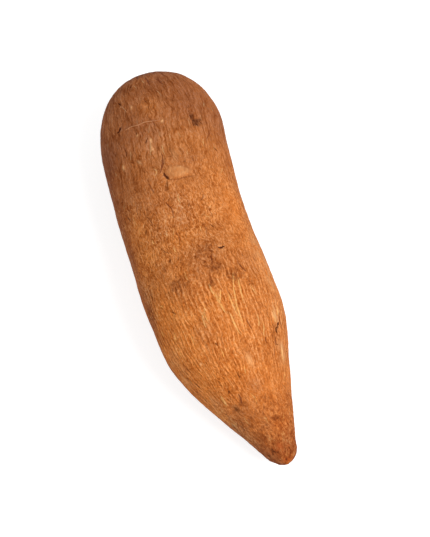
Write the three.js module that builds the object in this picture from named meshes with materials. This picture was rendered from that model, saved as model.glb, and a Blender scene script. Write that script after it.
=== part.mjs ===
// A yam tuber, as dug and cleaned: one swollen root with a broad rounded head and a tapering tail.
// It lies along Y with its broad end towards +Y, and rests on the plane z = 0. Millimetres, +Z up.

import * as THREE from "three";

// ---------------------------------------------------------------- driving dimensions

const LENGTH = 344;
const HEAD_ROUNDING = 60; // how far the rounding of the broad end reaches along the tuber
const TAIL_ROUNDING = 15; // the same at the blunt tip
const BLUNTNESS = 0.9; // 1 makes both ends ellipses in outline, and less makes them squarer
const REST_DEPTH = 1; // how much of the round underside is flattened where the tuber rests

const SKIN_COLOUR = "#b8733f";
const SKIN_ROUGHNESS = 0.85;

// Mesh density: rings across the tuber and points around each ring.
const HEAD_RINGS = 12;
const BODY_RINGS = 36;
const TAIL_RINGS = 4;
const SECTORS = 60;

// Stations from the broad end to the tip. "drift" moves the middle line sideways, so the tuber
// curves, and "lift" raises the underside off the ground near both ends.
const STATIONS = [
  { along: 172, halfWidth: 48, halfHeight: 43, drift: 6, lift: 3 },
  { along: 130, halfWidth: 50.5, halfHeight: 45, drift: 4, lift: 0.5 },
  { along: 95, halfWidth: 51, halfHeight: 46, drift: 1, lift: 0 },
  { along: 55, halfWidth: 50.5, halfHeight: 46, drift: -3, lift: 0 },
  { along: 15, halfWidth: 50.5, halfHeight: 46, drift: -4.5, lift: 0 },
  { along: -30, halfWidth: 50.5, halfHeight: 48, drift: -5, lift: 0 },
  { along: -65, halfWidth: 49, halfHeight: 46, drift: -3, lift: 0 },
  { along: -95, halfWidth: 41, halfHeight: 39, drift: -2.5, lift: 1.5 },
  { along: -125, halfWidth: 28, halfHeight: 29, drift: 2, lift: 5 },
  { along: -150, halfWidth: 17, halfHeight: 17.5, drift: 7.5, lift: 10 },
  { along: -172, halfWidth: 9, halfHeight: 9, drift: 11, lift: 15 },
];

// Slow swellings (height > 0) and hollows (height < 0) of the skin. "turn" is the angle around
// the tuber, in degrees: 0 is the +X side, 90 the top and -90 the underside.
const SWELLINGS = [
  { along: 116, turn: 5, reachAlong: 14, reachAround: 35, height: 1.8 },
  { along: 150, turn: 60, reachAlong: 18, reachAround: 40, height: 1.2 },
  { along: 128, turn: 100, reachAlong: 12, reachAround: 18, height: -1.4 },
  { along: 96, turn: 150, reachAlong: 22, reachAround: 28, height: 1.0 },
  { along: 88, turn: 82, reachAlong: 12, reachAround: 16, height: -1.2 },
  { along: 62, turn: 20, reachAlong: 20, reachAround: 26, height: 1.0 },
  { along: 48, turn: 118, reachAlong: 26, reachAround: 24, height: 1.1 },
  { along: 8, turn: 70, reachAlong: 14, reachAround: 34, height: -1.3 },
  { along: -38, turn: 12, reachAlong: 22, reachAround: 30, height: 1.2 },
  { along: -52, turn: 112, reachAlong: 24, reachAround: 22, height: 1.3 },
  { along: -92, turn: 60, reachAlong: 18, reachAround: 26, height: 1.0 },
  { along: -140, turn: 110, reachAlong: 12, reachAround: 40, height: -0.8 },
  { along: 20, turn: 178, reachAlong: 24, reachAround: 26, height: -0.8 },
  { along: 132, turn: -145, reachAlong: 20, reachAround: 30, height: 1.6 },
  { along: 76, turn: -150, reachAlong: 16, reachAround: 24, height: -1.8 },
  { along: 30, turn: -140, reachAlong: 24, reachAround: 22, height: 1.5 },
  { along: -20, turn: -35, reachAlong: 26, reachAround: 24, height: 1.6 },
  { along: 44, turn: -38, reachAlong: 18, reachAround: 22, height: -1.7 },
  { along: 104, turn: -40, reachAlong: 18, reachAround: 24, height: 1.2 },
  { along: -70, turn: -142, reachAlong: 20, reachAround: 26, height: 1.4 },
  { along: -112, turn: -90, reachAlong: 16, reachAround: 40, height: -1.2 },
];

// ---------------------------------------------------------------- shape of the tuber

const HALF_LENGTH = LENGTH / 2;

// Reads one dimension of the stations at a place along the tuber, on a smooth cubic between them.
function stationValue(name, along) {
  const last = STATIONS.length - 1;
  let index = 0;
  while (index < last - 1 && along < STATIONS[index + 1].along) {
    index += 1;
  }
  const before = STATIONS[index];
  const after = STATIONS[index + 1];
  const span = after.along - before.along;
  const t = (along - before.along) / span;
  const slopeBefore = stationSlope(name, index) * span;
  const slopeAfter = stationSlope(name, index + 1) * span;
  return (
    before[name] * (1 + 2 * t) * (1 - t) ** 2 +
    slopeBefore * t * (1 - t) ** 2 +
    after[name] * (3 - 2 * t) * t ** 2 +
    slopeAfter * (t - 1) * t ** 2
  );
}

// Slope of a dimension at a station, from the stations on each side of it.
function stationSlope(name, index) {
  const before = STATIONS[Math.max(index - 1, 0)];
  const after = STATIONS[Math.min(index + 1, STATIONS.length - 1)];
  return (after[name] - before[name]) / (after.along - before.along);
}

// Places of the rings: even steps of angle round both ends and even steps along the body.
// "fullness" is 1 on the body and falls to 0 at the poles.
function ringPlaces() {
  const places = [];
  for (let i = 1; i <= HEAD_RINGS; i += 1) {
    const angle = (i / HEAD_RINGS) * (Math.PI / 2);
    places.push({
      along: HALF_LENGTH - HEAD_ROUNDING * (1 - Math.cos(angle)),
      fullness: Math.sin(angle) ** BLUNTNESS,
    });
  }
  const bodyLength = LENGTH - HEAD_ROUNDING - TAIL_ROUNDING;
  for (let i = 1; i < BODY_RINGS; i += 1) {
    places.push({
      along: HALF_LENGTH - HEAD_ROUNDING - (bodyLength * i) / BODY_RINGS,
      fullness: 1,
    });
  }
  for (let i = TAIL_RINGS; i >= 1; i -= 1) {
    const angle = (i / TAIL_RINGS) * (Math.PI / 2);
    places.push({
      along: TAIL_ROUNDING * (1 - Math.cos(angle)) - HALF_LENGTH,
      fullness: Math.sin(angle) ** BLUNTNESS,
    });
  }
  return places;
}

// Height of the swellings and hollows at a place on the skin.
function swellingAt(along, turn) {
  let height = 0;
  for (const swelling of SWELLINGS) {
    const awayAlong = (along - swelling.along) / swelling.reachAlong;
    const turned = THREE.MathUtils.euclideanModulo(turn - swelling.turn + 180, 360) - 180;
    const awayAround = turned / swelling.reachAround;
    height += swelling.height * Math.exp(-(awayAlong ** 2) - awayAround ** 2);
  }
  return height;
}

// A point of the skin. Everything below the resting plane is pressed flat onto it.
function skinPoint(place, turn) {
  const angle = THREE.MathUtils.degToRad(turn);
  const swelling = swellingAt(place.along, turn);
  const width = (stationValue("halfWidth", place.along) + swelling) * place.fullness;
  const height = (stationValue("halfHeight", place.along) + swelling) * place.fullness;
  const middle = middlePoint(place.along);
  const x = middle.x + width * Math.cos(angle);
  const z = middle.z + height * Math.sin(angle);
  return new THREE.Vector3(x, place.along, Math.max(z, 0));
}

// A point of the middle line.
function middlePoint(along) {
  const z = stationValue("lift", along) + stationValue("halfHeight", along) - REST_DEPTH;
  return new THREE.Vector3(stationValue("drift", along), along, z);
}

// The closed skin: rings of points joined by triangles, with one point at each pole. The origin
// ends up on the resting plane, under the middle of the tuber's bounding box.
function tuberGeometry() {
  const places = ringPlaces();
  const points = [];
  for (const place of places) {
    for (let i = 0; i < SECTORS; i += 1) {
      points.push(skinPoint(place, (360 * i) / SECTORS));
    }
  }
  const headPole = points.push(middlePoint(HALF_LENGTH)) - 1;
  const tailPole = points.push(middlePoint(-HALF_LENGTH)) - 1;

  const triangles = [];
  const lastRing = (places.length - 1) * SECTORS;
  for (let i = 0; i < SECTORS; i += 1) {
    const next = (i + 1) % SECTORS;
    triangles.push(headPole, next, i);
    triangles.push(tailPole, lastRing + i, lastRing + next);
    for (let ring = 0; ring < lastRing; ring += SECTORS) {
      const below = ring + SECTORS;
      triangles.push(ring + i, ring + next, below + i);
      triangles.push(ring + next, below + next, below + i);
    }
  }

  const geometry = new THREE.BufferGeometry().setFromPoints(points);
  geometry.setIndex(triangles);
  geometry.computeVertexNormals();
  geometry.computeBoundingBox();
  const { min, max } = geometry.boundingBox;
  geometry.translate(-(min.x + max.x) / 2, -(min.y + max.y) / 2, -min.z);
  return geometry;
}

// ---------------------------------------------------------------- the object

const skin = new THREE.MeshStandardMaterial({
  color: SKIN_COLOUR,
  roughness: SKIN_ROUGHNESS,
  metalness: 0,
});

const tuber = new THREE.Mesh(tuberGeometry(), skin);
tuber.name = "tuber";

const group = new THREE.Group();
group.add(tuber);

export default group;
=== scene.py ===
"""A whole yam tuber lying on a pale floor, seen from above its tip.

The skin is one fine mesh laid over the CAD solid. Its wrinkles, scars, pits and cracks are real
relief, and the same fields colour it. Lengths are in millimetres until the meshes are made.
"""

import itertools
import math

import bpy
import numpy as np
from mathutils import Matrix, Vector
from mathutils.bvhtree import BVHTree


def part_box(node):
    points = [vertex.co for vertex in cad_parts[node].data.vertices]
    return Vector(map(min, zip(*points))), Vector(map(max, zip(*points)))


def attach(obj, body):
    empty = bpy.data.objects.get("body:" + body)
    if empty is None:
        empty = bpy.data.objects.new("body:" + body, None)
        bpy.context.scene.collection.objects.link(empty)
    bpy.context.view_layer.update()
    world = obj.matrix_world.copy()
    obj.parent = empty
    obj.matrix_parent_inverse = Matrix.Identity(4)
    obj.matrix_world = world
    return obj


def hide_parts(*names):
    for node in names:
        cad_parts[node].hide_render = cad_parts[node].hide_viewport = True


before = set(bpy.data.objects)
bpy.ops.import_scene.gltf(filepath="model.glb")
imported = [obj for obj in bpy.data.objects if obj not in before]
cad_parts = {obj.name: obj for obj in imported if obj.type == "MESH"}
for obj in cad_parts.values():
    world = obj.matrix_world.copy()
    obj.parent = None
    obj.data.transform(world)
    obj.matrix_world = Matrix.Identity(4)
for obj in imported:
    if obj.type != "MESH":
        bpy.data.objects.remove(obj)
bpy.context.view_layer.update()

MM = 0.001
NODE = "tuber"
SEED = 7

# Grid of the skin: points around a ring, and rings on the head, the body and the tail.
AROUND = 360
HEAD_RINGS = 46
BODY_RINGS = 212
TAIL_RINGS = 18
TOP_CROWDING = 0.28  # share by which the points sit closer on top and wider apart underneath

# Radii of the balls that the ends are shaped round and their rings fan out from.
HEAD_BALL = 44.0
TAIL_BALL = 10.0
CENTRE_REACH = 6.0  # how far along the tuber CAD corners are averaged for a first middle
CENTRE_RAYS = 24  # directions in which the skin is looked for, for a better one
FACET_BLUR = (4, 8)  # rings and points over which the CAD solid's facets are smoothed
INSET = 0.2  # how far the bare form lies inside the CAD solid, to keep the relief in its box

CURVE_STEPS = 6  # pieces of a smooth path between two of its points
NARROW = 20.0  # radius of the tuber below which no chance marks are made


# ---- noise and curves


def unit(vectors):
    """The same directions, each with a length of 1."""
    return vectors / np.linalg.norm(vectors, axis=-1, keepdims=True)


def wrapped(angle):
    """The same angle, from half a turn back to half a turn on."""
    return (angle + math.pi) % (2 * math.pi) - math.pi


class Noise:
    """Smooth seeded noise from about -1 to 1. Its bumps are about one unit across."""

    def __init__(self, seed):
        rng = np.random.default_rng(seed)
        self.order = rng.permutation(256)
        self.slopes = unit(rng.normal(size=(256, 3)))

    def at(self, points):
        cell = np.floor(points).astype(int)
        inside = points - cell
        fade = inside**3 * (inside * (inside * 6 - 15) + 10)
        total = np.zeros(points.shape[:-1])
        for corner in np.array(list(np.ndindex(2, 2, 2))):
            pick = 0
            for axis in range(3):
                pick = self.order[(pick + cell[..., axis] + corner[axis]) & 255]
            weight = np.where(corner == 1, fade, 1 - fade).prod(axis=-1)
            total += weight * (self.slopes[pick] * (inside - corner)).sum(axis=-1)
        return total * 1.6  # brings it up to its full range


def smoothstep(low, high, value):
    """0 below low, 1 above high, and a smooth rise between them."""
    t = np.clip((value - low) / (high - low), 0, 1)
    return t * t * (3 - 2 * t)


def blur(values, rings, points):
    """Gaussian blur over the grid of the skin, closed around each ring and held at the ends."""
    for axis, sigma, mode in ((0, rings, "edge"), (1, points, "wrap")):
        reach = int(3 * sigma)
        kernel = np.exp(-0.5 * (np.arange(-reach, reach + 1) / sigma) ** 2)
        kernel /= kernel.sum()
        pad = [(0, 0), (0, 0)]
        pad[axis] = (reach, reach)
        padded = np.pad(values, pad, mode=mode)
        values = np.apply_along_axis(np.convolve, axis, padded, kernel, "valid")
    return values


def smooth_path(points):
    """Points along a smooth curve that passes through a few given points."""
    points = np.array(points, dtype=float)
    knots = [2 * points[0] - points[1], *points, 2 * points[-1] - points[-2]]
    curve = []
    for p0, p1, p2, p3 in zip(knots, points, points[1:], knots[3:]):
        for t in np.arange(CURVE_STEPS) / CURVE_STEPS:
            slow = 2 * p1 + (p2 - p0) * t
            fast = (2 * p0 - 5 * p1 + 4 * p2 - p3) * t**2 + (3 * p1 - p0 - 3 * p2 + p3) * t**3
            curve.append((slow + fast) / 2)
    return np.array(curve + [points[-1]])


# ---- base form, from the CAD solid


class Form:
    """The bare shape of the tuber as a grid of points, read from the CAD solid.

    Its rings run from the broad head to the tip. along is a ring's place on the long axis, s the
    distance walked over the skin from the first ring, and radius a ring's mean radius. turn is
    the angle of a point around the axis, 0 at +X and 90 degrees on top.
    """

    def __init__(self):
        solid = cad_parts[NODE]
        self.corners = np.array([v.co / MM for v in solid.data.vertices])
        polygons = [p.vertices for p in solid.data.polygons]
        self.tree = BVHTree.FromPolygons(self.corners.tolist(), polygons)
        self.low, self.high = (np.array(corner / MM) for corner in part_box(NODE))

        even = np.arange(AROUND) / AROUND * 2 * math.pi
        self.turn = even + TOP_CROWDING * np.cos(even)
        origins, lean = self.rings()
        turn, lean = np.broadcast_arrays(self.turn, lean[:, None])
        across = np.cos(lean)
        directions = np.stack([np.cos(turn) * across, np.sin(lean), np.sin(turn) * across], -1)
        rays = zip(origins, directions)
        lengths = [[self.reach(origin, direction) for direction in row] for origin, row in rays]
        lengths = blur(np.array(lengths), *FACET_BLUR)
        self.points = origins[:, None, :] + directions * lengths[..., None]

        middle = self.points.mean(axis=1)
        self.along = middle[:, 1]
        self.radius = np.linalg.norm(self.points - middle[:, None], axis=-1).mean(axis=1)
        steps = np.linalg.norm(np.diff(self.points, axis=0), axis=-1).mean(axis=1)
        self.s = np.concatenate([[0.0], np.cumsum(steps)])

    def reach(self, origin, direction):
        """Distance from a point inside the solid to its skin."""
        return self.tree.ray_cast(origin, direction)[3]

    def centre(self, along):
        """Middle of the solid's cross-section at a place along it."""
        near = np.abs(self.corners[:, 1] - along) < CENTRE_REACH
        centre = self.corners[near].mean(axis=0)
        centre[1] = along
        for _ in range(2):
            hits = []
            for angle in np.linspace(0, 2 * math.pi, CENTRE_RAYS, endpoint=False):
                direction = np.array([math.cos(angle), 0.0, math.sin(angle)])
                hits.append(centre + direction * self.reach(centre, direction))
            centre = np.mean(hits, axis=0)
        return centre

    def rings(self):
        """Where each ring's rays start, and how far they lean towards +Y."""
        head, tail = self.high[1] - HEAD_BALL, self.low[1] + TAIL_BALL
        centres = [self.centre(place) for place in np.linspace(head, tail, BODY_RINGS)]
        origins = np.pad(centres, ((HEAD_RINGS, TAIL_RINGS), (0, 0)), mode="edge")
        head_lean = 1 - (np.arange(HEAD_RINGS) + 0.5) / HEAD_RINGS
        tail_lean = -(np.arange(TAIL_RINGS) + 0.5) / TAIL_RINGS
        lean = np.concatenate([head_lean, np.zeros(BODY_RINGS), tail_lean]) * (math.pi / 2)
        return origins, lean


form = Form()


# ---- lay of the skin


def coil(turn, radius, along):
    """Places on a tube, so that noise read there closes around the tuber."""
    return np.stack([np.cos(turn) * radius, np.sin(turn) * radius, along], -1)


class Lay:
    """Coordinates on the skin in which wrinkles run lengthwise and narrow towards the ends.

    Each level is a radius of the tuber and how many wrinkles go round it there. Wrinkles keep
    their number between levels, and the levels fade into each other, so wrinkles merge.
    """

    RADII = np.array([46.0, 30.0, 19.0, 12.0, 7.0, 4.0])
    COUNTS = np.array([88, 72, 50, 32, 19, 11])
    # How far apart the levels read the noise, so that none repeats another.
    THREADS_APART = 91.3
    NOISE_APART = 37.7
    LEAST_RADIUS = 3.0  # mm, so that marks keep their size near the poles
    FULL = 1.6  # how far beside its middle a stroke still has its whole strength, in mm
    FADE = 2.3  # where it has none

    def __init__(self):
        self.turn, self.s, self.along, self.radius = np.broadcast_arrays(
            form.turn, *(values[:, None] for values in (form.s, form.along, form.radius))
        )
        self.shares = self.level_shares()
        self.reels = self.COUNTS * self.RADII[0] / self.COUNTS[0]

    def level_shares(self):
        """How much of each level every ring takes: at most two levels share a ring."""
        depth, levels = -np.log(form.radius), -np.log(self.RADII)
        shares = np.array([np.interp(depth, levels, hat) for hat in np.eye(len(levels))])
        return shares / np.linalg.norm(shares, axis=0)

    def threads(self, sway):
        """Lengthwise coordinates for the shader's noise, in mm. Each ring uses two levels at most,
        so two sets of them and their shares hold all."""
        sets = []
        for parity in (0, 1):
            shares = self.shares[parity::2]
            picked = np.argmax(shares, axis=0)
            sizes = (self.RADII, self.reels)
            radius, reel = (values[parity::2][picked][:, None] for values in sizes)
            turn = self.turn + sway / radius
            lengthwise = self.s + self.THREADS_APART * picked[:, None]
            share = np.broadcast_to(shares.max(axis=0)[:, None], self.turn.shape)
            sets.append((coil(turn, reel, lengthwise), share))
        return sets

    def noise(self, pattern, across, along, sway=0.0):
        """Noise drawn out along the tuber. across and along are the size of its bumps, and sway
        moves it sideways, in mm."""
        source = Noise(SEED + pattern)
        total = np.zeros(self.turn.shape)
        sway = np.broadcast_to(sway, self.turn.shape)
        for level, (radius, reel) in enumerate(zip(self.RADII, self.reels)):
            rows = self.shares[level] > 0
            turn = self.turn[rows] + sway[rows] / radius
            lengthwise = self.s[rows] / along + self.NOISE_APART * level
            where = coil(turn, reel / across, lengthwise)
            total[rows] += source.at(where) * self.shares[level][rows][:, None]
        return total

    def ridges(self, sway):
        """Wrinkles side by side round the tuber: 1 on their crests and 0 between them."""
        total = np.zeros(self.turn.shape)
        for count, radius, share in zip(self.COUNTS, self.RADII, self.shares):
            wave = 0.5 + 0.5 * np.cos(count * (self.turn + sway / radius))
            total += wave * share[:, None] ** 2
        return total

    def offset(self, along, turn, tilt=0.0):
        """Distance of every point from a place on the skin, in mm: to the right and towards the
        tip as seen from above, turned clockwise by tilt degrees."""
        row = np.argmin(np.abs(form.along - along))
        radius = np.maximum(self.radius, self.LEAST_RADIUS)
        right = -wrapped(self.turn - math.radians(turn)) * radius
        down = self.s - form.s[row]
        cos, sin = math.cos(math.radians(tilt)), math.sin(math.radians(tilt))
        return right * cos + down * sin, down * cos - right * sin

    def spot(self, along, turn, half, amount):
        """A broad soft spot. half is its half size along the tuber in mm and round it in degrees."""
        away = (self.along - along) / half[0]
        turned = np.degrees(wrapped(self.turn - math.radians(turn))) / half[1]
        return amount * np.exp(-(away**2) - turned**2)

    def patch(self, along, turn, half, amount, tilt=0.0):
        """A soft patch. half is its half size in mm to the right and towards the tip."""
        right, down = self.offset(along, turn, tilt)
        return amount * np.exp(-((right / half[0]) ** 2) - (down / half[1]) ** 2)

    def trace(self, along, turn, path, tilt=0.0, size=1.0):
        """How the skin lies beside a smooth curve. The curve passes through a few points, each in
        mm to the right and towards the tip of a place. Returns which points are near it, how far
        they are to its one side or the other, and where along it, from -1 to 1."""
        right, down = self.offset(along, turn, tilt)
        curve = smooth_path(path) * size
        low, high = curve.min(axis=0) - 3 * self.FADE, curve.max(axis=0) + 3 * self.FADE
        near = (right > low[0]) & (right < high[0]) & (down > low[1]) & (down < high[1])

        # In complex numbers, a point less a step's start, divided by the step, has its share of
        # the step as its real part, and how far it lies aside as the other.
        starts = curve @ (1, 1j)
        steps = np.diff(starts)[:, None]
        lengths = np.abs(steps)
        walked = np.cumsum(lengths)[:, None]
        away = (right[near] + 1j * down[near] - starts[:-1, None]) / steps
        share = np.clip(away.real, 0, 1)
        distance = np.abs(away - share) * lengths
        closest = distance.argmin(axis=0), np.arange(distance.shape[1])
        aside = np.copysign(distance, away.imag)[closest]
        place = (walked + (share - 1) * lengths)[closest] / walked[-1] * 2 - 1
        return near, aside, place


lay = Lay()


# ---- marks on the skin

# Every mark starts with its place: along the tuber in mm, and its turn round it in degrees. Paths
# are points in mm to the right of the place and towards the tip, as seen from above, and a tilt
# turns them clockwise by degrees. Strengths go from 0 to 1, and are 1 if left out.

# What is left where a rootlet broke off: place, size and tilt.
SCARS = [
    (56, 99, 1.0, 0),
    (14, -52, 0.75, 150),
    (-62, 212, 0.7, -20),
    (118, 200, 0.85, 170),
    (96, -66, 0.6, 20),
    (-20, 262, 0.9, 10),
]

# Dark slits in the skin: place, path, half width in mm and strength.
SLITS = [
    (114, 136, [(-2.6, 1.4), (0, 0.3), (2.6, -1.8)], 1.1),
    (98, 59, [(-0.6, -2), (-0.4, 0), (-0.8, 2.4)], 0.7, 0.8),
    (98, 55, [(-0.4, -2.4), (0, 0), (0.4, 2.6)], 0.6, 0.7),
    (99, 51, [(-0.6, -1.6), (0.2, 0), (0.6, 2)], 0.5, 0.6),
    (105, 60, [(-0.8, -1.8), (0, 0), (1.2, 1.2)], 0.6, 0.6),
    (-14.5, 71, [(-2.8, 0.4), (0, 0.2), (2.8, -0.6)], 1.0),
    (-81, 35, [(2.8, -4.2), (1.2, -2), (-0.8, 0.4)], 1.5),
    (-84, 39, [(-0.6, -2), (0.6, 2)], 1.1, 0.9),
    (-116, 125, [(0.6, -1.6), (0.6, 0), (-1.2, 1)], 0.5, 0.6),
    (138, 131, [(-1.2, -2.2), (1.2, 2)], 0.7),
    (24, -84, [(-2, -2), (0, 0), (1, 3)], 0.8),
    (86, -30, [(-3, 0.6), (0, 0), (3, -1)], 0.7),
    (-12, -18, [(-2.4, 1), (0, 0), (2.6, 0.6)], 0.7),
    (44, 192, [(-3, -1), (0, 0), (2.6, -0.6)], 0.8),
    (-88, 236, [(0, -3), (0.6, 0), (-0.4, 3)], 0.8),
]

# Shallow grooves where the skin has creased, given in the same way.
CREASES = [
    (-21, 94, [(-0.8, -8), (0, 0), (4, 4)], 0.7, 0.5),
    (-23, 84, [(0.8, -4), (0, 0), (-1, 4)], 0.7),
    (-40, 92, [(1, -5), (0, 0), (-1, 4)], 0.8, 0.6),
    (-124, 115, [(0.6, -4), (0.4, 0), (-1.6, 3.4)], 0.7),
    (-34, 60, [(-1, -6), (1, 0), (4, 4)], 0.7),
    (-92, 42, [(0.4, -3), (-1, -0.6), (0, 1.6), (1.8, 1.8)], 0.8),
    (-90, 56, [(0.6, -2), (-0.2, 0), (0.2, 2)], 0.6),
    (160, 104, [(0.6, -6), (0, 0), (0.4, 6)], 0.6),
    (150, 92, [(-0.4, -8), (0.4, 0), (0, 8)], 0.7),
    (146, 78, [(0.4, -6), (-0.4, 0), (0.6, 7)], 0.6),
]

# Pale folds that stand out from the wrinkles beside them: place, path and half width in mm.
FOLDS = [
    (-65, 78, [(3.5, -19), (2, -11), (0.5, -3), (0, 5), (1.5, 18)], 0.8),
    (-56, 70, [(2.5, -14), (1, -6), (-0.5, 6)], 0.75),
    (-65, 81, [(0, -12), (-0.5, -5), (0.5, 7)], 0.7),
    (-75, 85, [(-1, -9), (-0.5, -4), (0.5, 5), (3, 9)], 0.75),
    (-59, 92, [(0, -9), (-0.5, -4), (0.5, 3), (1.5, 9)], 0.75),
    (-55, 90, [(2.5, -6), (0, 0), (-2, 5)], 0.6),
    (-48, 95, [(0, -6), (0.5, 4)], 0.65),
    (-63, 108, [(2, -6), (0, 0), (-0.5, 6)], 0.7),
    (-67, 112, [(1, -5), (0, 0), (0, 5)], 0.65),
    (-43, 72, [(2, -5), (-1, 5)], 0.6),
    (-77, 60, [(-0.5, -5), (0, 0), (-1.5, 5)], 0.6),
    (-82, 56, [(0.5, -6), (0, 0), (-1.5, 6)], 0.6),
    (84, 108, [(1.4, -6.5), (0.6, -3), (0, 0), (-1.4, 6)], 0.6),
    (80, 97, [(0.6, -5), (0, 0), (1, 5)], 0.5),
    (-74, 39, [(0.2, -5), (0, 0), (0.6, 4)], 1.2),
    (-68, 32, [(0.4, -4), (0.4, 0), (0, 4)], 1.1),
    (-99, 34, [(-0.4, -6), (0.4, 6)], 1.3),
    (-120, 139, [(1, -4), (0, 0), (-1.4, 4)], 1.2),
]

# Small pale scraps and one painted highlight: place, half their size to the right and towards the
# tip in mm, strength, tilt.
SPECKS = [
    (91, 106, (0.8, 1.8), 0.9),
    (86, 107, (0.7, 2.4), 0.7),
    (82, 106, (0.6, 1.0), 0.8),
    (81, 140, (1.0, 1.8), 1.0),
    (77, 122, (2.0, 0.8), 0.9, 58),
    (-92, 134, (1.0, 0.7), 0.9),
    (105, 91, (1.0, 1.0), 1.0),
    (100, 118, (0.7, 0.8), 0.8),
    (60, 84, (0.6, 0.7), 0.8),
    # A painted highlight: a light patch where the ridges catch the light.
    (-101, 81, (2.0, 4.6), 0.5, -8),
    (128, 118, (0.8, 1.6), 0.6),
    (-73, 41, (0.6, 3.6), 0.7, -8),
    (-70, 36, (0.5, 3.4), 0.7, -4),
    (-68, 31, (0.7, 3.0), 0.9),
    (-98, 34, (0.6, 4.0), 0.8, 4),
]

# Dark hollows: place, path, half width at its start and end in mm, and strength.
PITS = [
    (101, 56, [(-4.5, -9), (-3, -5), (-1, -1), (0.6, 0.6)], (1.8, 4.2), 0.85),
    (48, 102, [(0.4, -3), (0, 0), (-0.4, 3)], (1.0, 1.6), 0.8),
    (34, 48, [(-1, 0), (1, 0.4)], (1.3, 1.3), 0.6),
    (-12, 121, [(-0.6, 0.6), (0.6, -0.6)], (1.2, 1.2), 0.9),
    (-127, 135, [(-0.8, -0.8), (0.8, 0.8)], (3.2, 3.2), 0.75),
    (-143, 75, [(-2, 0), (2, 0.4)], (2.6, 2.6), 0.5),
    (128, -48, [(-1, -1), (1, 2)], (2.0, 3.0), 0.9),
    (62, 226, [(-2, -4), (0, 0), (1, 1)], (1.4, 3.4), 0.9),
    (-30, 244, [(-1, 0), (1, 0)], (1.6, 1.6), 0.7),
    (-96, -20, [(0, -2), (0, 2)], (1.4, 1.4), 0.7),
    (5, 12, [(-1, -2), (1, 2)], (1.2, 1.6), 0.6),
]

# Soft patches: place, half size to the right and towards the tip in mm, and strength. Dust and
# sheen patches are paler and duller: those along the rims, near turns 30 and 160, are painted
# sheen where light grazes the skin, and the others are dust.
DUST_AND_SHEEN = [
    (72, 92, (12, 8), 0.3),
    (-30, 25, (9, 30), 0.85),
    (-96, 34, (5, 9), 0.9),
    (-72, 36, (3, 7), 1.0),
    (-146, 98, (7, 9), 0.2),
    (-164, 150, (5, 8), 0.6),
    (-84, 168, (9, 22), 0.45),
    (-128, 165, (7, 20), 0.35),
    (60, 250, (16, 24), 0.5),
    (-60, 280, (14, 20), 0.5),
]

# Reddish orange patches at the tip.
RUSTS = [
    (-161, 96, (3, 3), 0.6),
    (-170, 80, (4, 3), 0.6),
    (-152, 60, (9, 18), 0.15),
]

# Browner patches.
STAINS = [
    (-30, 96, (36, 14), 0.3),
    (-34, 121, (11, 8), 0.75),
    (-20, 106, (10, 6), 0.4),
    (-14, 84, (14, 9), 0.65),
    (-32, 84, (8, 6), 0.9),
    (-42, 91, (5, 5), 0.7),
    (-39, 69, (9, 7), 0.8),
    (-46, 55, (7, 4), 0.7),
    (73, 88, (14, 5), 0.4),
    (-152, 132, (7, 10), 0.9),
    (-127, 113, (8, 12), 0.6),
    (-143, 75, (5, 4), 0.9),
    (-86, 43, (6, 10), 0.6),
    (162, 88, (14, 9), 0.6),
    (120, 165, (12, 22), 0.4),
    (5, -40, (12, 8), 0.7),
    (-70, -60, (9, 12), 0.7),
    (90, 196, (10, 12), 0.6),
    (-10, 214, (12, 7), 0.7),
]

# Broad spots: place, half size along the tuber in mm and round it in degrees, and amount. Tones
# are lighter above 0 and darker below. They are partly the skin's own lightness and partly
# painted shade and light: the spots near turn 170 are painted shade on the left rim and the left
# of the head down to about along -60, and painted light on the left rim nearer the tip.
TONE_AND_SHADING_SPOTS = [
    (85, 170, (50, 45), -0.6),
    (100, 35, (24, 40), -0.28),
    (30, 35, (40, 30), 0.15),
    (-72, 150, (36, 30), 0.5),
    (-60, 185, (30, 20), -0.35),
    (121, 150, (13, 14), 0.28),
    (122, 102, (10, 13), 0.32),
    (22, 170, (68, 12), -0.25),
    (55, 142, (45, 14), 0.15),
    (-42, 168, (18, 12), -0.55),
    (-25, 27, (17, 9), 0.3),
    (-87, 158, (7, 9), 0.35),
    (-92, 166, (18, 16), 0.7),
    (-116, 156, (7, 12), -0.38),
    (-16, 130, (6, 9), -0.17),
    (14, 97, (6, 9), -0.17),
    (-105, 100, (8, 24), 0.22),
    (-118, 84, (6, 12), -0.35),
    (-26, 114, (7, 9), 0.2),
    (1, 28, (10, 12), 0.18),
    (24, 141, (9, 16), 0.18),
    (38, 108, (8, 16), -0.15),
    (24, 96, (9, 12), -0.18),
    (-158, 165, (13, 25), 0.4),
    (-124, 168, (10, 14), 0.25),
    (-150, 75, (6, 24), 0.15),
    (-172, 50, (4, 70), 0.9),
    (104, 121, (16, 14), -0.22),
    (32, 68, (18, 13), 0.2),
    (2, 108, (8, 12), 0.26),
    (1, 148, (16, 16), 0.3),
    (-10, 42, (15, 16), 0.26),
    (-42, 26, (15, 16), 0.35),
    (-61, 101, (13, 17), 0.15),
    (-75, 119, (10, 12), -0.3),
    (66, 80, (9, 26), -0.15),
    (-134, 114, (9, 25), -0.12),
]

# Warmths are warmer above 0 and cooler below.
WARMTHS = [
    (95, 95, (48, 42), -0.9),
    (0, 175, (150, 32), 0.6),
    (-150, 60, (26, 80), 1.2),
    (-165, 90, (14, 200), 0.5),
    (-157, 160, (12, 24), -1.3),
    (132, 148, (20, 12), -0.5),
    (-25, 158, (14, 10), -0.5),
    (32, 163, (20, 10), 0.6),
    (18, 40, (24, 14), 0.4),
    (51, 74, (10, 12), -0.35),
    (-34, 44, (16, 10), -0.3),
    (-113, 83, (10, 14), 0.3),
    (-72, 168, (14, 12), 0.4),
]

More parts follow.
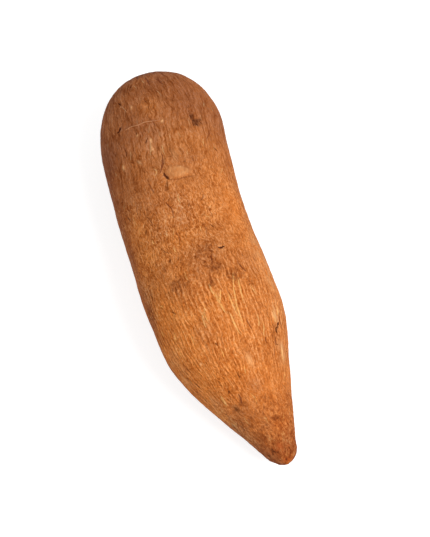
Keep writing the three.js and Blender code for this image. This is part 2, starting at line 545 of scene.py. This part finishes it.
# Calms show their wrinkles less above 0 and more below.
CALMS = [
    (20, 44, (36, 17), 0.4),
    (27, 141, (12, 10), 0.35),
    (121, 40, (10, 12), 0.3),
    (-76, 95, (7, 36), 0.3),
    (-131, 88, (12, 34), 0.3),
    (-146, 128, (12, 20), 0.4),
    (-28, 162, (14, 10), -0.5),
    (-90, 168, (10, 12), -0.4),
    (-124, 168, (10, 12), -0.4),
    (130, 148, (14, 10), -0.35),
    (76, 105, (14, 34), -0.15),
]

# Swellings of the skin over the CAD form, in mm.
SWELLINGS = [
    (154, 135, (15, 45), 1.9),
    (143, 35, (16, 35), 1.3),
    (95, 172, (40, 30), 0.9),
    (-14, 20, (18, 30), 1.0),
    (-70, 186, (14, 30), 1.3),
    (-120, 25, (40, 35), 1.2),
    (-165, 60, (5, 90), 0.9),
]


def patches(places):
    """The strongest of several soft patches at every point."""
    return np.max([lay.patch(*place) for place in places], axis=0)


def spots(places):
    """The sum of several broad spots at every point."""
    return sum(lay.spot(*place) for place in places)


class Strokes:
    """Marks of one kind that are narrower than the grid. For every point it holds how far it is
    from the middle of the nearest stroke in half widths, its place along it and its strength."""

    FAR = 9.0  # half widths, where no stroke is near

    def __init__(self):
        self.distance = np.full(lay.turn.shape, np.inf)
        self.values = np.full((*lay.turn.shape, 3), (self.FAR, 0.0, 0.0))

    def add(self, near, aside, place, width, strength):
        distance = np.abs(aside)
        nearer = distance < self.distance[near]
        rows, columns = (index[nearer] for index in np.nonzero(near))
        weight = strength * (1 - smoothstep(lay.FULL, lay.FADE, distance))
        self.distance[rows, columns] = distance[nearer]
        self.values[rows, columns] = np.stack([aside / width, place, weight], -1)[nearer]


class Skin:
    """Relief in mm and the fields that colour it, all on the grid of the form."""

    # The fields that the material reads, under the same names.
    AMOUNTS = ("texture", "crinkled", "knotted", "folded", "grooved", "grainy", "tone", "warmth")
    AMOUNTS += ("dark", "pale", "stain", "bloom", "rust")
    STROKES = ("slits", "creases", "folds")

    LEAST_REACH = 0.8  # half width in mm of the narrowest relief that the grid can hold

    def __init__(self):
        self.height = spots(SWELLINGS)
        # Plain is where a scar leaves the skin without wrinkles.
        self.dark, self.pale, self.plain = np.zeros((3, *lay.turn.shape))
        self.stain, self.bloom, self.rust = map(patches, (STAINS, DUST_AND_SHEEN, RUSTS))
        self.slits, self.creases, self.folds = Strokes(), Strokes(), Strokes()
        self.ragged = lay.noise(30, 2.4, 3.0)
        self.mark()
        self.scatter()
        self.wrinkle()
        self.shade()

    def fields(self):
        """All that the material reads, by name."""
        fields = {name: getattr(self, name) for name in self.AMOUNTS}
        fields |= {name: getattr(self, name).values for name in self.STROKES}
        for name, (where, share) in zip(("threads_a", "threads_b"), lay.threads(self.sway)):
            fields |= {name: where, name + "_share": share}
        return fields

    # ---- wrinkles

    def zones(self):
        """Zones from 0 to 1 with uneven borders: the lower half, the tip, the tail between them,
        the end of the tip, the head and the middle."""
        wander = lay.noise(0, 26, 34)
        lower = smoothstep(2, -50, lay.along + 16 * wander)
        tip = smoothstep(-108, -138, lay.along + 12 * wander)
        end = smoothstep(-144, -170, lay.along + 8 * wander)
        head = smoothstep(28, 88, lay.along + 16 * wander)
        return lower, tip, lower - tip, end, head, np.clip(1 - lower - head, 0, 1)

    def wrinkle(self):
        """The wrinkles that cover the whole skin, shallower on the scars."""
        lower, tip, tail, end, head, middle = self.zones()

        # Ridges and crests are the same waves, made broad for the relief and narrow for the
        # colour, less their mean. In the colour the crests are painted highlights, a thin light line
        # along each ridge, and the skin between them is a little darker as painted shade.
        noise = lay.noise
        self.sway = 1.5 * noise(1, 16, 18) + 0.8 * noise(2, 6, 6)
        self.sway += (0.9 - 0.6 * smoothstep(2, -50, lay.along)) * noise(5, 4, 3)
        uneven = np.clip(0.8 + 0.8 * noise(10, 6, 16), 0.25, 1.2)
        waves = lay.ridges(self.sway)
        ridges = uneven * (waves**1.6 - 0.4)
        crests = uneven * (waves**4 - 0.27)
        wide = noise(6, 3.2, 16, 0.8 * self.sway)
        long = noise(13, 2.0, 14, self.sway)
        narrow = noise(7, 1.8, 6, self.sway)
        short = noise(8, 1.6, 3.2, self.sway)
        knots = noise(9, 3.6, 4.4)
        clouds = noise(12, 11, 14)
        slow = 0.3 * noise(3, 24, 46) + 0.25 * noise(4, 11, 18)
        slow *= 1 - 0.5 * head

        # How much of each pattern shows in the relief and in the colour.
        live = (1 - 0.6 * self.plain) * (1 - spots(CALMS))
        relief = (
            (ridges, 0.48 * tail + 0.14 * head),
            (wide, 0.12 * head + 0.12 * middle),
            (long, 0.14 * head),
            (narrow, 0.1 + 0.14 * middle + 0.06 * lower - 0.14 * tip),
            (short, 0.04 + 0.12 * middle + 0.12 * tip),
            (knots, 0.2 * tip),
        )
        colour = (
            # crests: painted highlights along the ridges, painted shade between them
            (crests, 0.36 * tail + 0.12 * head),
            (wide, 0.04 * head),
            (long, 0.13 * head),
            (narrow, 0.08 + 0.04 * middle + 0.04 * lower - 0.1 * tip),
            (short, 0.05 + 0.05 * middle + 0.1 * tip + 0.1 * end),
            (knots, 0.04 + 0.18 * tip + 0.25 * end),
            (clouds, 0.1 + 0.05 * middle + 0.14 * tip),
        )
        self.height += slow + live * sum(field * amount for field, amount in relief)
        self.texture = live * sum(field * amount for field, amount in colour)

        # How strongly the material's own patterns show: short wrinkles, crinkles of the tip, long
        # wrinkles, long dark grooves and the finest grain.
        self.crinkled = live * (middle + 0.1 * lower + 0.1 * tip)
        self.knotted = live * tip
        self.folded = live * (0.5 * head + 0.1 * middle + 0.6 * tail)
        self.grooved = live * (head + 0.1 * middle + 0.5 * tail)
        self.grainy = live * (0.9 - 0.3 * head + 0.35 * lower - 0.4 * tip)
        self.rust = np.maximum(self.rust, end * (0.1 + 0.3 * smoothstep(-0.5, 0.8, short)))
        self.dark = np.maximum(self.dark, 0.8 * end * smoothstep(0.0, -0.6, knots))
        self.stain = np.maximum(self.stain, 0.5 * tip + 0.45 * end)

    def shade(self):
        """How light and how warm the skin is, over broad parts of it. Part of the lightness is
        painted shade and painted light.
        """
        head = smoothstep(70, 160, lay.along)
        tail = smoothstep(-20, -60, lay.along) * smoothstep(-150, -110, lay.along)
        tip = smoothstep(-120, -150, lay.along)
        end = smoothstep(-144, -170, lay.along)
        # The head is darker and the tail lighter: partly the skin's own colour, partly painted shade
        # on the head's end, which faces away from the light, and painted light on the tail, which
        # slopes towards it. The tip and its end are darker in their own colour.
        zones = 0.12 * tail - 0.42 * head - 0.22 * tip - 0.2 * end
        clouds = 0.22 * lay.noise(20, 26, 34)
        self.tone = np.clip(0.8 * (0.88 + zones + clouds + spots(TONE_AND_SHADING_SPOTS)), 0, 1)
        self.warmth = 0.2 * lay.noise(21, 20, 26) + spots(WARMTHS)

    # ---- marks with places

    def mark(self):
        """The marks that have places of their own."""
        for scar in SCARS:
            self.scar(*scar)
        for slit in SLITS:
            self.stroke(self.slits, *slit, depth=1.3)
        for crease in CREASES:
            self.stroke(self.creases, *crease, depth=0.4)
        for fold in FOLDS:
            self.stroke(self.folds, *fold, strength=0.8, depth=-0.6)
        for pit in PITS:
            self.pit(*pit)
        for speck in SPECKS:
            self.speck(*speck)

    def stroke(self, kind, along, turn, path, width, strength=1.0, tilt=0.0, size=1.0, *, depth):
        """A narrow mark along a path, with its depth and half its width in mm. Folds stand out,
        so their depth is below 0."""
        near, aside, place = lay.trace(along, turn, path, tilt, size)
        kind.add(near, aside, place, width * size, strength)
        taper = 1 - place**2
        reach = np.maximum(width * size, self.LEAST_REACH) * (0.5 + 0.5 * taper)
        self.height[near] -= depth * size * strength * taper * np.exp(-((aside / reach) ** 2))

    def scar(self, along, turn, size, tilt):
        """The pad left by a rootlet, with a slit at its left end, creases round it and two small
        hollows. The crease under the pad is painted dark as the pad's shadow. Lengths are for a scar
        of size 1."""
        self.pad(along, turn, size, tilt)
        slit = [(-1.6, -3.4), (-0.4, 0), (1.6, 3.2)]
        above = [(-0.2, -21), (0.4, -18), (-0.8, -12), (-3, -6.5), (-5, -4)]
        # A shallow groove under the pad, painted dark as the pad's shadow.
        shadow_beneath = [(1.2, 3.6), (7.4, 5.4), (15.8, 5.4), (22, 6)]
        beside = [(24.4, -12), (24, -9.5), (25, -7)]
        corner = [(12.6, -15), (12.2, -12.6), (12.8, -10.8)]
        fork = [(-9, -10), (-7, -6), (-9.6, -3.6)]
        for kind, path, width, depth, strength in (
            (self.slits, slit, 1.25, 1.6, 1.0),
            (self.creases, above, 0.9, 0.7, 1.0),
            (self.creases, shadow_beneath, 0.7, 0.6, 0.5),
            (self.creases, beside, 0.9, 0.4, 0.6),
            (self.creases, corner, 0.7, 0.3, 0.3),
            (self.folds, fork, 0.7, -0.3, 0.7),
        ):
            self.stroke(kind, along, turn, path, width, strength, tilt, size, depth=depth)
        self.pit(along, turn, [(-1.2, 5), (-1.8, 11)], (1.2, 1.4), 0.75, tilt, size)
        self.pit(along, turn, [(14, -9), (17, -8.4)], (1, 1), 0.75, tilt, size)

    def pad(self, along, turn, size, tilt):
        """A smooth raised pad, broad at its left end and narrow at its right."""
        middle, half = (10.4, -2.6), (12, 5.4)
        right, down = lay.offset(along, turn, tilt + 10)
        right = (right / size - middle[0]) / half[0]
        down = (down / size - middle[1]) / half[1]
        narrowing = 1 - 0.4 * np.clip(right, -1, 1)
        away = np.hypot(right, down / narrowing) + 0.2 * self.ragged
        top = 1 - smoothstep(0.62, 1.08, away)
        rim = np.exp(-(((away - 1.15) / 0.16) ** 2))
        self.height += 0.8 * size * top - 0.4 * size * rim
        self.plain = np.maximum(self.plain, 0.9 * top)
        self.pale = np.maximum(self.pale, 0.2 * top * (1 + 1.3 * self.ragged))

    def pit(self, along, turn, path, half, dark, tilt=0.0, size=1.0):
        """A hollow with ragged edges, that widens along its path from half[0] to half[1] mm."""
        near, aside, place = lay.trace(along, turn, path, tilt, size)
        width = np.interp(place, (-1, 1), half) * size
        away = np.abs(aside) / width
        self.height[near] -= 0.45 * size * width * (1 - smoothstep(0.2, 1.4, away))
        shade = dark * np.exp(-1.2 * (away + 0.4 * self.ragged[near]) ** 2) * (0.8 + 0.2 * place)
        self.dark[near] = np.maximum(self.dark[near], shade)

    def speck(self, along, turn, half, pale, tilt=0.0):
        """A pale scrap of skin that stands a little proud."""
        spot = lay.patch(along, turn, half, 1.0, tilt)
        self.height += 0.4 * spot
        self.pale = np.maximum(self.pale, pale * spot)

    # ---- marks scattered by chance

    def scatter(self):
        """Small nicks and pale hairs all over, from the seed."""
        rng = np.random.default_rng(SEED)
        for count, *kind in (
            (90, self.slits, (1.0, 3.0), (0.35, 0.6), 0.5, 30),
            (150, self.creases, (3.0, 8.0), (0.4, 0.8), 0.35, 14),
            (300, self.folds, (1.5, 5.0), (0.35, 0.6), -0.2, 14),
        ):
            for _ in range(count):
                self.scattered(rng, *kind)

    def scattered(self, rng, kind, lengths, widths, depth, lean):
        """One more mark of a kind, unless it would lie too near another or on the narrow tip.
        Lengths and widths are ranges of half its size in mm, and lean is in degrees."""
        s = rng.uniform(0, form.s[-1])
        turn = rng.uniform(0, 2 * math.pi)
        length = rng.uniform(*lengths)
        bend = rng.normal() * 0.15 * length
        tilt = rng.normal() * lean
        width = rng.uniform(*widths)
        strength = rng.uniform(0.35, 1.0)
        row = np.argmin(np.abs(form.s - s))
        column = np.argmin(np.abs(form.turn - turn))
        if kind.distance[row, column] < length + 2 * lay.FADE or form.radius[row] < NARROW:
            return
        path = [(0, -length), (bend, 0), (0, length)]
        place = form.along[row], math.degrees(turn)
        self.stroke(kind, *place, path, width, strength, tilt, depth=depth)


skin = Skin()


# ---- meshes


def skin_points():
    """The form moved by its relief, kept inside the CAD box and above the floor."""
    points = form.points
    down = np.gradient(points, axis=0)
    around = (np.roll(points, -1, axis=1) - np.roll(points, 1, axis=1)) / 2
    normals = unit(np.cross(around, down))
    moved = points + normals * (skin.height - INSET)[..., None]
    return np.clip(moved, form.low, form.high), normals


def add_object(name, data):
    """Puts a mesh, a lamp or a camera into the scene."""
    thing = bpy.data.objects.new(name, data)
    bpy.context.collection.objects.link(thing)
    return thing


def add_mesh(name, points, faces):
    """Puts a smooth mesh into the scene. Its points are in metres."""
    mesh = bpy.data.meshes.new(name)
    mesh.from_pydata(np.array(points).tolist(), [], faces)
    mesh.shade_smooth()
    return add_object(name, mesh)


def with_poles(values):
    """A grid's values point by point, followed by those of the poles: the means of its end rings."""
    ends = values[[0, -1]].mean(axis=1)
    return np.concatenate([values.reshape(-1, *values.shape[2:]), ends])


def grid_mesh(name, points, fields):
    """A closed mesh of rings with a point at each pole, its fields as point attributes, and a map
    of the skin unrolled, with the seam underneath."""
    vertices = with_poles(points)
    *grid, pole, last_pole = range(len(vertices))
    grid = np.reshape(grid, (-1, AROUND)).tolist()
    rows = [[pole] * AROUND, *grid, [last_pole] * AROUND]
    seam = 3 * AROUND // 4
    order = [(step + seam) % AROUND for step in range(AROUND + 1)]
    faces, unrolled = [], []
    for down, (above, below) in enumerate(itertools.pairwise(rows)):
        for step, (i, j) in enumerate(itertools.pairwise(order)):
            # A pole comes up twice, so that its face keeps three corners.
            corners = {above[i]: (step, down), below[i]: (step, down + 1)}
            corners |= {below[j]: (step + 1, down + 1), above[j]: (step + 1, down)}
            faces.append(tuple(corners))
            unrolled += corners.values()
    piece = add_mesh(name, vertices * MM, faces)
    mesh = piece.data
    places = np.array(unrolled) / (AROUND, len(rows) - 1)
    mesh.uv_layers.new(name="OFBake").data.foreach_set("uv", places.ravel())
    for label, values in fields.items():
        kind, key = ("FLOAT", "value") if values.ndim == 2 else ("FLOAT_VECTOR", "vector")
        data = mesh.attributes.new(label, kind, "POINT").data
        data.foreach_set(key, with_poles(values).ravel())
    mesh.update()
    return piece


# Dry rootlets that cling to the skin: place and path.
ROOTLETS = [
    (109, 110, [(-16, -1.4), (-10, -1), (-4, -0.6), (1.4, 0.6), (7, 1.4), (14, 3)]),
    (130, 127, [(-3.6, -2.4), (-1.4, -3), (0.8, -0.6), (2.4, 4.6)]),
    (77, 122, [(-1.5, -2), (0, 0), (1.6, 2.5)]),
    (36, -24, [(-8, -2), (-2, 1), (4, 0), (9, 2)]),
    (120, -70, [(-6, 3), (0, 0), (5, -4), (12, -4)]),
    (70, 200, [(-4, -6), (0, 0), (1, 6), (-2, 11)]),
    (-36, 226, [(-7, 1), (0, 0), (6, -3)]),
    (-110, -30, [(-4, -3), (0, 0), (5, 1)]),
]
ROOTLET_RADIUS = 0.3
ROOTLET_LIFT = 0.25  # how far a rootlet's middle lies above the skin
ROOTLET_SIDES = 8


def on_skin(points, normals, along, turn, path):
    """A rootlet's route over the skin, along a path beside a place."""
    start = form.s[np.argmin(np.abs(form.along - along))]
    found = []
    for right, down in path:
        row = np.argmin(np.abs(form.s - start - down))
        angle = math.radians(turn) - right / form.radius[row]
        column = np.argmin(np.abs(wrapped(form.turn - angle)))
        found.append(points[row, column] + normals[row, column] * ROOTLET_LIFT)
    return smooth_path(found)


def tube(route, first):
    """A closed tube that tapers to both ends: its points, and its faces counted from first."""
    steps = unit(np.gradient(route, axis=0))
    side = unit(np.cross(steps, [0.3, 0.2, 1.0]))
    up = np.cross(side, steps)
    radii = ROOTLET_RADIUS * np.sqrt(1 - 0.96 * np.linspace(-1, 1, len(route)) ** 2)
    vertices = []
    for centre, a, b, radius in zip(route, side, up, radii):
        for angle in np.arange(ROOTLET_SIDES) / ROOTLET_SIDES * 2 * math.pi:
            vertices.append(centre + radius * (a * math.cos(angle) + b * math.sin(angle)))
    rings = (first + np.arange(len(vertices))).reshape(-1, ROOTLET_SIDES).tolist()
    faces = []
    for one, two in itertools.pairwise(rings):
        for i in range(ROOTLET_SIDES):
            j = (i + 1) % ROOTLET_SIDES
            faces.append((one[i], one[j], two[j], two[i]))
    return vertices, [*faces, rings[0][::-1], rings[-1]]


def rootlet_mesh(points, normals):
    """All the rootlets as one mesh."""
    vertices, faces = [], []
    for rootlet in ROOTLETS:
        route = on_skin(points, normals, *rootlet)
        more_vertices, more_faces = tube(route, len(vertices))
        vertices += more_vertices
        faces += more_faces
    return add_mesh("rootlets", np.clip(vertices, form.low, form.high) * MM, faces)


# ---- materials


class Nodes:
    """Short ways to add shader nodes to a material."""

    def __init__(self, material):
        material.use_nodes = True
        self.tree = material.node_tree
        self.tree.nodes.clear()

    def add(self, kind, inputs=None, **settings):
        """Adds a node. Its inputs are values or other nodes' outputs."""
        node = self.tree.nodes.new("ShaderNode" + kind)
        for key, value in settings.items():
            setattr(node, key, value)
        for socket, value in (inputs or {}).items():
            self.feed(node.inputs[socket], value)
        return node

    def feed(self, socket, value):
        """Links a socket to another node's output, or sets its value."""
        if isinstance(value, bpy.types.NodeSocket):
            self.tree.links.new(value, socket)
        else:
            socket.default_value = value

    def field(self, name, output="Fac"):
        return self.add("Attribute", attribute_name=name).outputs[output]

    def math(self, operation, *values, clamp=False):
        inputs = dict(enumerate(values))
        return self.add("Math", inputs, operation=operation, use_clamp=clamp).outputs[0]

    def times(self, a, b):
        return self.math("MULTIPLY", a, b)

    def rise(self, low, high, value):
        """The shader's own smoothstep."""
        inputs = {"Value": value, "From Min": low, "From Max": high}
        return self.add("MapRange", inputs, interpolation_type="SMOOTHSTEP").outputs["Result"]

    def mix(self, share, a, b, blend="MIX"):
        """Mixes two colours. The numbers are the node's own sockets for colours."""
        node = self.add("Mix", data_type="RGBA", blend_type=blend)
        for socket, value in zip((0, 6, 7), (share, a, b)):
            self.feed(node.inputs[socket], value)
        return node.outputs[2]

    def ramp(self, value, stops):
        """The colour for a value. Stops are places with colours in screen values."""
        node = self.add("ValToRGB", {0: value})
        points = node.color_ramp.elements
        while len(points) < len(stops):
            points.new(0.5)
        for point, (place, colour) in zip(points, stops):
            point.position = place
            point.color = srgb(*colour)
        return node.outputs[0]

    def weighted(self, parts, total=0.0):
        """Sum of values, each times its weight, on top of a first total."""
        for value, weight in parts:
            total = self.math("MULTIPLY_ADD", value, weight, total)
        return total

    def threads(self, size, stretch, detail=2.0):
        """Noise drawn out along the tuber, about -1 to 1. size is in mm across."""
        scale = (1 / size, 1 / size, 1 / (size * stretch))
        parts = []
        for name in ("threads_a", "threads_b"):
            factors = {0: self.field(name, "Vector"), 1: scale}
            scaled = self.add("VectorMath", factors, operation="MULTIPLY").outputs[0]
            inputs = {"Vector": scaled, "Scale": 1.0, "Detail": detail}
            noise = self.add("TexNoise", inputs).outputs["Fac"]
            centred = self.math("MULTIPLY_ADD", noise, 4.0, -2.0)
            parts.append((centred, self.field(name + "_share")))
        return self.weighted(parts)

    def lines(self, size, stretch, width, where):
        """Thin lines that wander along the tuber and meet, as strong as the field where says."""
        noise = self.threads(size, stretch, detail=1.0)
        return self.times(self.rise(width, 0.0, self.math("ABSOLUTE", noise)), self.field(where))

    def strokes(self, name, wobble):
        """How strongly the strokes of a kind show, from 0 to 1, tapered to their ends."""
        parts = self.add("SeparateXYZ", {"Vector": self.field(name, "Vector")}).outputs
        squared = self.times(parts["Y"], parts["Y"])
        taper = self.math("SQRT", self.math("SUBTRACT", 1.0, squared, clamp=True))
        aside = self.math("ABSOLUTE", self.math("MULTIPLY_ADD", wobble, 0.5, parts["X"]))
        inside = self.math("SUBTRACT", taper, aside)
        return self.times(self.rise(-0.15, 0.45, inside), parts["Z"])

    def surface(self, colour, roughness, bump, specular):
        """Ends a material in the usual surface shader."""
        inputs = {"Base Color": colour, "Roughness": roughness, "Normal": bump.outputs[0]}
        shader = self.add("BsdfPrincipled", inputs | {"Specular IOR Level": specular})
        self.add("OutputMaterial", {"Surface": shader.outputs[0]})


def srgb(red, green, blue):
    """A colour given as 0 to 255 screen values, as the linear colour that nodes take."""
    shares = (red / 255, green / 255, blue / 255)
    linear = (v / 12.92 if v <= 0.04045 else ((v + 0.055) / 1.055) ** 2.4 for v in shares)
    return (*linear, 1.0)


def new_material(piece, name):
    """Gives a piece a new material, and returns its nodes."""
    material = bpy.data.materials.new(name)
    piece.data.materials.append(material)
    return Nodes(material)


def skin_material(piece):
    nodes = new_material(piece, "yam_skin")

    # The skin's own pattern.
    fine = nodes.threads(1.5, 3.0)
    grain = nodes.times(nodes.threads(1.0, 1.6, detail=1.0), nodes.field("grainy"))
    patchy = nodes.threads(5.0, 1.6, detail=3.0)
    short = nodes.lines(1.9, 2.6, 0.4, "crinkled")
    long = nodes.lines(1.8, 6.0, 0.35, "folded")
    knots = nodes.lines(2.3, 0.9, 0.45, "knotted")
    lines = nodes.math("ADD", nodes.math("ADD", short, long), knots)
    cracks = nodes.lines(3.1, 2.4, 0.22, "crinkled")
    grooves = nodes.lines(3.2, 8.0, 0.24, "grooved")
    cracks = nodes.math("ADD", cracks, grooves)
    texture = nodes.field("texture")
    parts = [(texture, 0.72), (fine, 0.06), (grain, 0.15), (patchy, 0.04)]
    value = nodes.weighted([*parts, (lines, 0.26), (cracks, -0.19)], 0.465)
    browns = [(119, 52, 13), (170, 88, 32), (211, 126, 67), (242, 160, 104), (255, 204, 154)]
    colour = nodes.ramp(value, list(zip((0.0, 0.25, 0.5, 0.75, 1.0), browns)))

    # Hue, and lightness with painted shade and light in it, over broad parts.
    heat = nodes.weighted([(nodes.threads(1.4, 1.5), 0.4), (nodes.field("warmth"), -0.5)], 0.5)
    hue = nodes.ramp(heat, [(0.0, (255, 237, 190)), (0.5, (250, 248, 236)), (1.0, (235, 242, 255))])
    tone = nodes.ramp(nodes.field("tone"), [(0.0, (150, 146, 190)), (1.0, (255, 255, 234))])

    # Marks.
    folds = nodes.strokes("folds", nodes.weighted([(fine, 1.0), (patchy, 1.6)]))
    folds = nodes.times(folds, nodes.rise(-1.6, 0.3, patchy))
    slits = nodes.strokes("slits", fine)
    creases = nodes.strokes("creases", fine)
    ragged = nodes.times(nodes.threads(1.6, 1.4), 0.3)
    dark = nodes.rise(0.1, 1.0, nodes.math("ADD", nodes.field("dark"), ragged))
    blotchy = nodes.times(nodes.threads(2.0, 1.4, detail=3.0), 0.45)
    stain = nodes.rise(0.2, 1.0, nodes.math("ADD", nodes.field("stain"), blotchy))
    # Pale dull patches: dust, and painted sheen along the rims.
    bloom = nodes.times(nodes.field("bloom"), nodes.rise(-0.8, 0.8, patchy))
    pale = nodes.times(nodes.field("pale"), nodes.rise(-1.4, 0.6, ragged))

    # All are laid over the pattern, the topmost last.
    for share, layer, *blend in (
        (nodes.times(folds, 0.75), srgb(255, 198, 134)),
        (1.0, hue, "MULTIPLY"),
        (1.0, tone, "MULTIPLY"),
        (bloom, srgb(206, 150, 100)),
        (stain, srgb(190, 174, 158), "MULTIPLY"),
        (nodes.field("rust"), srgb(186, 90, 38)),
        (nodes.times(dark, 0.85), srgb(74, 32, 13)),
        (pale, srgb(255, 194, 132)),
        (nodes.times(creases, 0.75), srgb(104, 44, 19)),
        (nodes.times(slits, 0.9), srgb(66, 16, 4)),
    ):
        colour = nodes.mix(share, colour, layer, *blend)

    # Light skin is a little smoother, and dark marks are rough.
    rough = nodes.weighted([(value, -0.25), (nodes.math("MAXIMUM", slits, dark), 0.3)], 0.85)
    bumps = [(texture, 0.35), (fine, 0.25), (grain, 0.16), (lines, 0.45), (cracks, -0.4)]
    height = nodes.weighted([*bumps, (folds, 0.5), (creases, -0.6), (slits, -0.8)])
    bump = nodes.add("Bump", {"Strength": 0.8, "Distance": 0.0005, "Height": height})
    nodes.surface(colour, rough, bump, specular=0.1)


def rootlet_material(piece):
    nodes = new_material(piece, "rootlet")
    place = nodes.add("TexCoord").outputs["Object"]
    noise = nodes.add("TexNoise", {"Vector": place, "Scale": 900.0}).outputs["Fac"]
    colour = nodes.ramp(noise, [(0.3, (168, 106, 64)), (0.7, (206, 146, 98))])
    bump = nodes.add("Bump", {"Strength": 0.4, "Distance": 0.0001, "Height": noise})
    nodes.surface(colour, 0.7, bump, specular=0.5)


# ---- camera, lights and floor, in metres

VIEW = (-18.3, 65)  # the camera's azimuth and elevation in degrees
CAMERA_DISTANCE = 1.168
FRAMING = (0.0102, -0.0074, 0)  # moves the camera right and down, to frame as the photo does
LENS = 100  # focal length in mm

# Soft lamps: name, azimuth and elevation in degrees, distance, size, and watts.
LAMPS = [("key", (45, 52), 1.6, 1.0, 22), ("fill", (-70, 35), 2.0, 1.6, 5)]
LAMP_TARGET = (0, 0, 0.05)

WHITE = (1, 1, 1, 1)
WORLD_LIGHT = 0.5
FLOOR_GREY = (0.5, 0.5, 0.5, 1)
FLOOR_GLOW = 0.75
FLOOR_HALF = 5.0
FLOOR_HEIGHT = -0.0003  # just clear of the tuber


def camera_rays(nodes):
    """1 for what the camera sees, straight, reflected or through glass, and 0 for light."""
    path = nodes.add("LightPath").outputs
    seen = nodes.math("MAXIMUM", path["Is Camera Ray"], path["Is Glossy Ray"])
    return nodes.math("MAXIMUM", seen, path["Is Transmission Ray"])


def make_world():
    """Even light from all sides. The camera sees plain white instead."""
    world = bpy.data.worlds.new("studio")
    bpy.context.scene.world = world
    nodes = Nodes(world)
    light = nodes.add("Background", {"Color": WHITE, "Strength": WORLD_LIGHT}).outputs[0]
    seen = nodes.add("Background", {"Color": WHITE, "Strength": 1.0}).outputs[0]
    mixed = nodes.add("MixShader", {0: camera_rays(nodes), 1: light, 2: seen})
    nodes.add("OutputWorld", {"Surface": mixed.outputs[0]})


def make_floor():
    """A pale floor that shows the tuber's shadow."""
    low, high = -FLOOR_HALF, FLOOR_HALF
    corners = [(low, low), (high, low), (high, high), (low, high)]
    floor = add_mesh("floor", [(x, y, FLOOR_HEIGHT) for x, y in corners], [(0, 1, 2, 3)])
    nodes = new_material(floor, "floor")
    matte = nodes.add("BsdfDiffuse", {"Color": FLOOR_GREY}).outputs[0]
    strength = nodes.times(camera_rays(nodes), FLOOR_GLOW)
    glow = nodes.add("Emission", {"Color": WHITE, "Strength": strength}).outputs[0]
    both = nodes.add("AddShader", {0: matte, 1: glow})
    nodes.add("OutputMaterial", {"Surface": both.outputs[0]})


def place_facing(thing, view, distance, target):
    """Puts a camera or lamp at a distance from the target, looking at it."""
    a, e = np.radians(view)
    back = Vector((math.sin(a) * math.cos(e), -math.cos(a) * math.cos(e), math.sin(e)))
    thing.location = Vector(target) + back * distance
    thing.rotation_euler = back.to_track_quat("Z", "Y").to_euler()


def make_camera():
    data = bpy.data.cameras.new("camera")
    data.lens = LENS
    camera = add_object("camera", data)
    low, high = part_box(NODE)
    place_facing(camera, VIEW, CAMERA_DISTANCE, (low + high) / 2)
    camera.location += camera.rotation_euler.to_matrix() @ Vector(FRAMING)
    bpy.context.scene.camera = camera


def make_lamp(name, view, distance, size, watts):
    data = bpy.data.lights.new(name, "AREA")
    data.shape = "DISK"
    data.size = size
    data.energy = watts
    place_facing(add_object(name, data), view, distance, LAMP_TARGET)


make_world()
make_floor()
make_camera()
for lamp in LAMPS:
    make_lamp(*lamp)

points, normals = skin_points()
tuber = grid_mesh("tuber_skin", points, skin.fields())
skin_material(tuber)
rootlets = rootlet_mesh(points, normals)
rootlet_material(rootlets)
for piece in (tuber, rootlets):
    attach(piece, "root")
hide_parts(NODE)

bpy.context.scene.view_settings.view_transform = "Standard"
